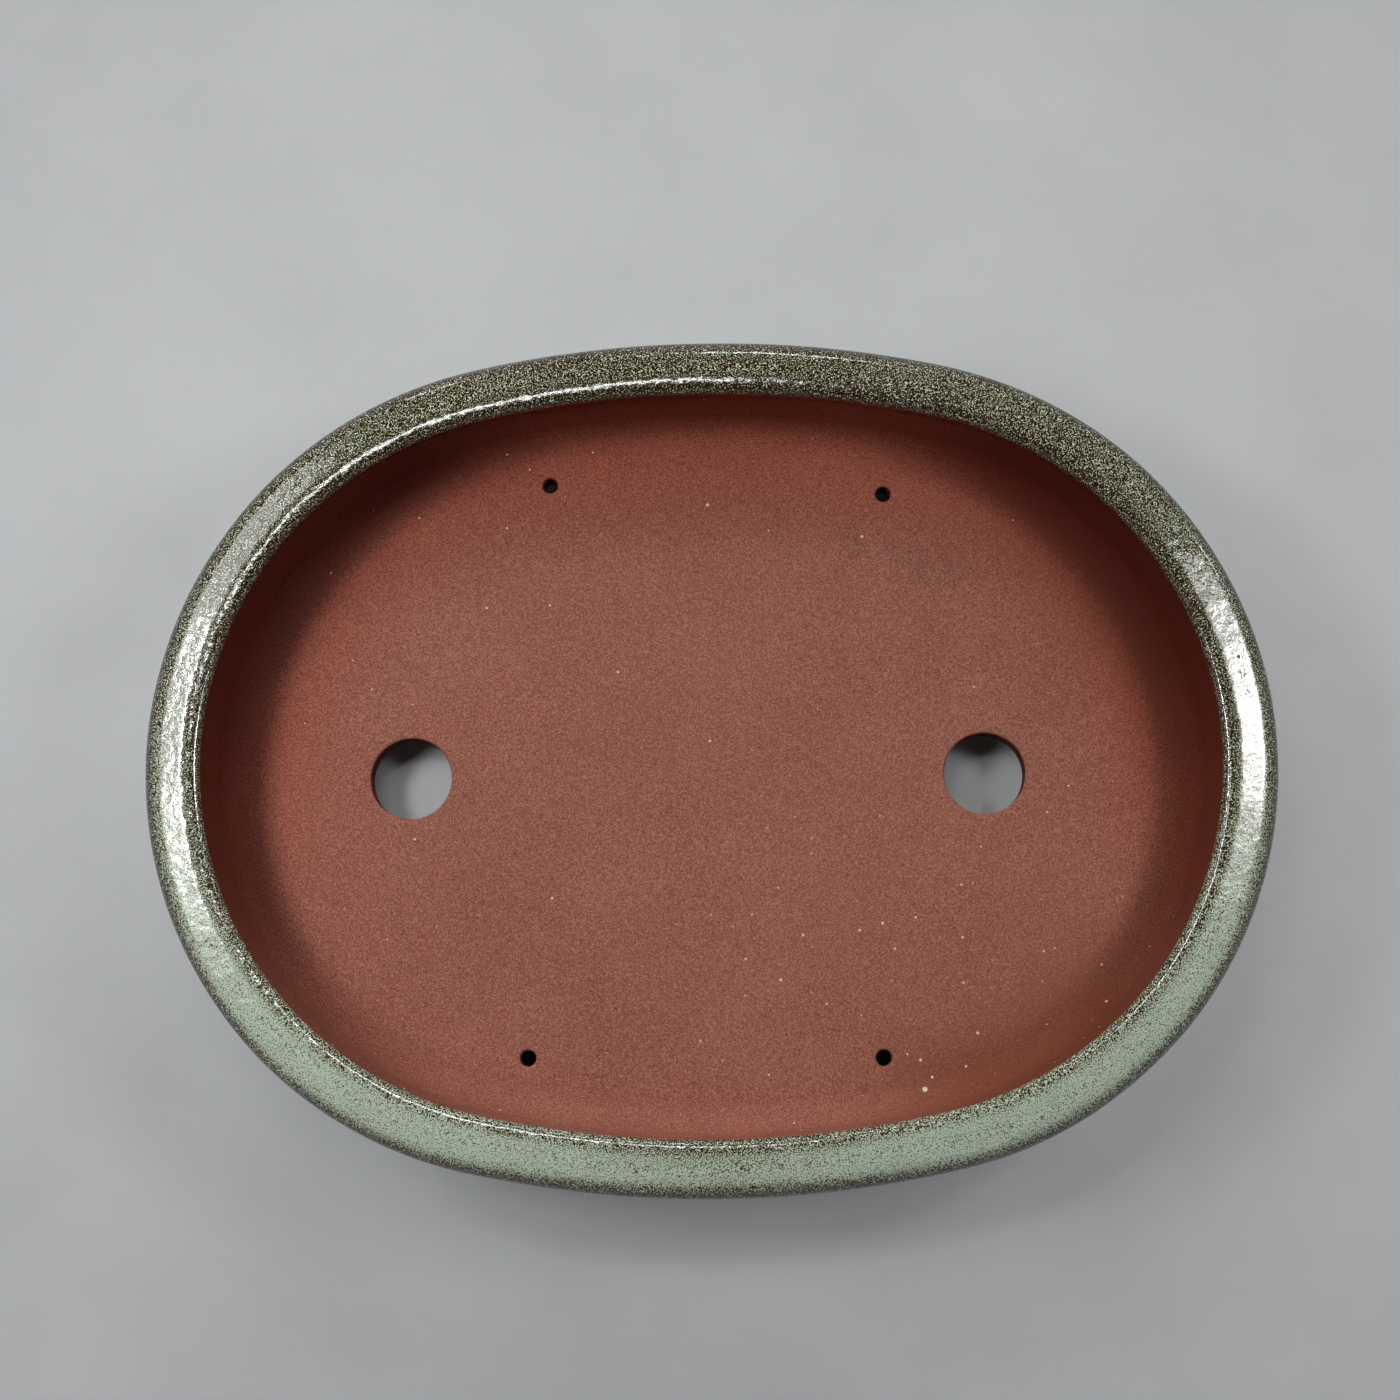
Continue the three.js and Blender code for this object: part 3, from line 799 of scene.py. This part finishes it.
def pierced_floor():
    """An oval slab with two drain holes and four wire holes, its top a little uneven."""
    bm = bmesh.new()
    ring = bmesh.ops.create_circle(bm, segments=STATIONS, radius=HALF_WIDTH)["verts"]
    for vert, (foot, out) in zip(ring, RIM_STATIONS):
        vert.co = foot - out * (inner_inset(FLOOR_TOP) + SEAM)
    drain_side = hole_side(DRAIN_RADIUS, DRAIN_EASE, DRAIN_EASE, DRAIN_EASE)
    wire_side = hole_side(WIRE_RADIUS, WIRE_EASE, WIRE_MOUTH, WIRE_MOUTH_DEPTH)
    holes = [(Vector((x, y, 0)), DRAIN_SEGMENTS, drain_side) for x, y in DRAINS]
    holes += [(Vector((x, y, 0)), WIRE_SEGMENTS, wire_side) for x, y in WIRES]
    for middle, segments, side in holes:
        at_middle = Matrix.Translation(middle)
        bmesh.ops.create_circle(bm, segments=segments, radius=side[0][0], matrix=at_middle)
    bmesh.ops.triangle_fill(bm, use_beauty=True, edges=bm.edges[:], normal=(0, 0, 1))
    for across, half in ((Vector((1, 0, 0)), HALF_LENGTH), (Vector((0, 1, 0)), HALF_WIDTH)):
        for k in range(-int(half / FLOOR_STEP), int(half / FLOOR_STEP) + 1):
            cut(bm, across * k * FLOOR_STEP, across)
    bmesh.ops.translate(bm, verts=bm.verts[:], vec=(0, 0, FLOOR_TOP))

    # Each hole's edge goes down step by step, and the outer edge goes straight to the underside
    outside = [edge for edge in bm.edges if edge.is_boundary]
    for middle, segments, side in holes:
        reach = side[0][0] + HOLE_EDGE_REACH
        edges = [e for e in outside if all((v.co.xy - middle.xy).length < reach for v in e.verts)]
        outside = [e for e in outside if e not in edges]
        for radius, drop in side[1:]:
            grown = bmesh.ops.extrude_edge_only(bm, edges=edges)["geom"]
            edges = edges_in(grown)
            for vert in verts_in(grown):
                way = (vert.co.xy - middle.xy).normalized() * radius
                vert.co = (middle.x + way.x, middle.y + way.y, FLOOR_TOP - drop)
    for vert in verts_in(bmesh.ops.extrude_edge_only(bm, edges=outside)["geom"]):
        vert.co.z = FOOT_HEIGHT
    bmesh.ops.triangle_fill(bm, use_beauty=True, edges=[e for e in bm.edges if e.is_boundary])

    # The hand's unevenness, and holes that aren't quite round
    for vert in bm.verts:
        vert.co += hand_wave(vert.co)
        for middle, segments, side in holes:
            way = vert.co.xy - middle.xy
            if way.length < side[0][0] + HOLE_WOBBLE_REACH:
                wobble = noise.noise(Vector((way.x, way.y, middle.x)) / HOLE_WOBBLE_LENGTH)
                vert.co.xy += way.normalized() * wobble * HOLE_WOBBLE
    bmesh.ops.recalc_face_normals(bm, faces=bm.faces[:])
    return bm


add_piece(pierced_floor(), "clay_floor", "clay", ["floor_slab"], CLAY)


def foot_edge():
    """The lower edge of a foot as (distance from its middle, height) points."""
    lobe_length = (FOOT_LENGTH - FOOT_SOLE) / 2 / FOOT_LOBES
    lobe_height = (FOOT_HEIGHT - SEAM - FOOT_TIP) / FOOT_LOBES
    right = [(FOOT_SOLE / 2, 0.0)]
    for lobe in range(FOOT_LOBES):
        for k in range(1, LOBE_STEPS + 1):
            a = 0.5 * math.pi * k / LOBE_STEPS
            right.append((
                FOOT_SOLE / 2 + (lobe + math.sin(a)) * lobe_length,
                (lobe + 1 - math.cos(a)) * lobe_height,
            ))
    return [(-s, z) for s, z in reversed(right)] + right


FOOT_LOWER = foot_edge()


def edge_gap(s, z):
    """How far a point of a foot's face is from its lower edge."""
    point = Vector((s, z))
    gaps = []
    for a, b in zip(FOOT_LOWER, FOOT_LOWER[1:]):
        a, b = Vector(a), Vector(b)
        share = max(0.0, min(1.0, (point - a).dot(b - a) / (b - a).length_squared))
        gaps.append((point - a.lerp(b, share)).length)
    return min(gaps)


def cloud_foot(place):
    """A foot cut to its scalloped face, given its depth, softened and bent along the oval."""
    bm = bmesh.new()
    kept = bm.verts.layers.float.new("thin")
    top = FOOT_HEIGHT - SEAM
    half = FOOT_LENGTH / 2
    outline = FOOT_LOWER + [(half, top), (-half, top)]
    face = bm.faces.new([bm.verts.new((s, 0, z)) for s, z in outline])
    front = face.edges[:]
    grown = bmesh.ops.extrude_face_region(bm, geom=[face], use_keep_orig=True)["geom"]
    bmesh.ops.translate(bm, verts=verts_in(grown), vec=(0, FOOT_DEPTH, 0))
    bmesh.ops.recalc_face_normals(bm, faces=bm.faces[:])
    softened = [e for e in front if not all(v.co.z > top - TOUCH for v in e.verts)]
    bmesh.ops.bevel(bm, geom=softened, offset=FOOT_EDGE, offset_type="OFFSET",
                    segments=FOOT_EDGE_SEGMENTS, affect="EDGES", profile=0.5, material=-1,
                    clamp_overlap=True)
    for k in range(-int(half / FOOT_STEP), int(half / FOOT_STEP) + 1):
        cut(bm, (k * FOOT_STEP, 0, 0), (1, 0, 0))
    for z in FOOT_CUTS:
        cut(bm, (0, 0, z), (0, 0, 1))

    # The sole, the inner side and the top are bare clay
    bm.normal_update()
    for each in bm.faces:
        sole = each.normal.z < -FACING and each.calc_center_median().z < SOLE_REACH
        bare = sole or each.normal.y > FACING or each.normal.z > FACING
        each.material_index = 1 if bare else 0
    inset = BASE[0] + FOOT_SETBACK
    line = OvalLine(inset)
    for vert in bm.verts:
        s, depth, z = vert.co
        near_edge = max(0.0, 1 - edge_gap(s, z) / FOOT_EDGE_REACH)
        vert[kept] = FOOT_THIN + FOOT_EDGE_THIN * near_edge
        foot, out = line.walk(place + s / line.lengths[-1])
        draft = FOOT_DRAFT * (top - z) / top
        vert.co = foot - out * (inset + depth + draft) + Vector((0, 0, z))
    bmesh.ops.recalc_face_normals(bm, faces=bm.faces[:])
    return bm


for name, place in FOOT_PLACES.items():
    add_piece(cloud_foot(place), "cloud_" + name, "glaze", [name], GLAZE, CLAY)


def looked_at(tree):
    """1 for what the camera sees straight, mirrored or through something clear."""
    seen = add_node(tree, "ShaderNodeLightPath").outputs
    mirrored = largest(tree, seen["Is Glossy Ray"], seen["Is Transmission Ray"])
    return largest(tree, seen["Is Camera Ray"], mirrored)


def mix_shaders(tree, share, first, second, end):
    """Two shaders mixed by a share, as the surface at a tree's end."""
    mixed = add_node(tree, "ShaderNodeMixShader", Fac=share)
    tree.links.new(first, mixed.inputs[1])
    tree.links.new(second, mixed.inputs[2])
    tree.links.new(mixed.outputs["Shader"], tree.nodes[end].inputs["Surface"])


def floor_paint():
    """Pale paint with a shadow painted under the pot, that fades into the backdrop further out."""
    paint, tree, shader, place = new_finish("pale_floor_paint")
    pale = tones(tree, grain(tree, place, scale=9, detail=4, roughness=0.6), FLOOR_TONES)
    shader.inputs["Roughness"].default_value = PAINT_ROUGHNESS
    flat = moved(tree, "MULTIPLY", place, (1 / HALF_LENGTH, 1 / HALF_WIDTH, 0))["Vector"]
    spread = moved(tree, "LENGTH", flat)["Value"]
    # A shadow painted under the pot, from past the drains to past the feet
    past_feet = ranged(tree, spread, PAST_FEET)
    painted_pot_shadow = reckon(tree, "SUBTRACT", ranged(tree, spread, PAST_DRAINS), past_feet)
    feed(tree, shader.inputs["Base Color"], blended(tree, painted_pot_shadow, pale, shade(*POT_SHADOW_TONE)))
    beside = ranged(tree, spread, BACKDROP_BESIDE)
    away = ranged(tree, spread, BACKDROP_AWAY)
    share = product(tree, looked_at(tree), reckon(tree, "ADD", beside, away))
    glow = add_node(tree, "ShaderNodeEmission", Color=pale, Strength=BACKDROP_STRENGTH)
    backdrop = glow.outputs["Emission"]
    mix_shaders(tree, share, shader.outputs["BSDF"], backdrop, "Material Output")
    return paint


# The pale floor under the pot
bm = bmesh.new()
bmesh.ops.create_grid(bm, x_segments=2, y_segments=2, size=FLOOR_SIZE)
floor_mesh = bpy.data.meshes.new("pale_floor")
bm.to_mesh(floor_mesh)
bm.free()
floor_mesh.materials.append(floor_paint())
pale_floor = bpy.data.objects.new("pale_floor", floor_mesh)
bpy.context.scene.collection.objects.link(pale_floor)


def add_lamp(name, middle, along, size, radiance):
    """A soft box at a place, facing the pot, with its long side along a direction."""
    data = bpy.data.lights.new(name, "AREA")
    data.shape = "RECTANGLE"
    data.size, data.size_y = size
    data.energy = radiance * math.pi * size[0] * size[1]
    lamp = bpy.data.objects.new(name, data)
    back = (Vector(middle) - Vector(POT_MIDDLE)).normalized()
    side = Vector(along).cross(back).normalized()
    long = back.cross(side)
    lamp.rotation_euler = Matrix((side, long, back)).transposed().to_euler()
    lamp.location = middle
    lamp.visible_camera = False
    bpy.context.scene.collection.objects.link(lamp)
    return lamp


# Lamps
for name, kind, middle, along, size, radiance in LAMPS:
    lamp = add_lamp(name, middle, along, size, radiance)
    lamp.visible_glossy = kind != "lights"
    lamp.visible_diffuse = kind != "shines"
for name, (x, y) in LOW_STRIPS.items():
    middle = (x, y, LOW_STRIP_HEIGHT)
    strip = add_lamp("low_strip_" + name, middle, (-y, x, 0), LOW_STRIP_SIZE, LOW_STRIP_RADIANCE)
    strip.visible_glossy = False

# The room, pale near the floor and dark overhead
world = bpy.data.worlds.new("studio")
world.use_nodes = True
tree = world.node_tree
room = tree.nodes["Background"]
room.inputs["Strength"].default_value = ROOM_STRENGTH
way = add_node(tree, "ShaderNodeTexCoord").outputs["Generated"]
rise = add_node(tree, "ShaderNodeSeparateXYZ", Vector=way).outputs["Z"]
dusk = blended(tree, ranged(tree, rise, ROOM_RISE), shade(*ROOM_LOW), shade(*ROOM_HIGH))
backdrop = add_node(tree, "ShaderNodeBackground", Color=dusk, Strength=1.0).outputs["Background"]
mix_shaders(tree, looked_at(tree), room.outputs["Background"], backdrop, "World Output")
bpy.context.scene.world = world
bpy.context.scene.view_settings.view_transform = "Standard"

# Camera
camera_data = bpy.data.cameras.new("camera")
camera_data.lens = LENS
camera_data.sensor_width = SENSOR
camera = bpy.data.objects.new("camera", camera_data)
forward = CAMERA_FORWARD.normalized()
right = forward.cross(CAMERA_UP).normalized()
up = right.cross(forward)
camera.rotation_euler = Matrix((right, up, -forward)).transposed().to_euler()
camera.location = CAMERA_OVER_FLANK + Vector((0, 0, FLANK[1]))
bpy.context.scene.collection.objects.link(camera)
bpy.context.scene.camera = camera
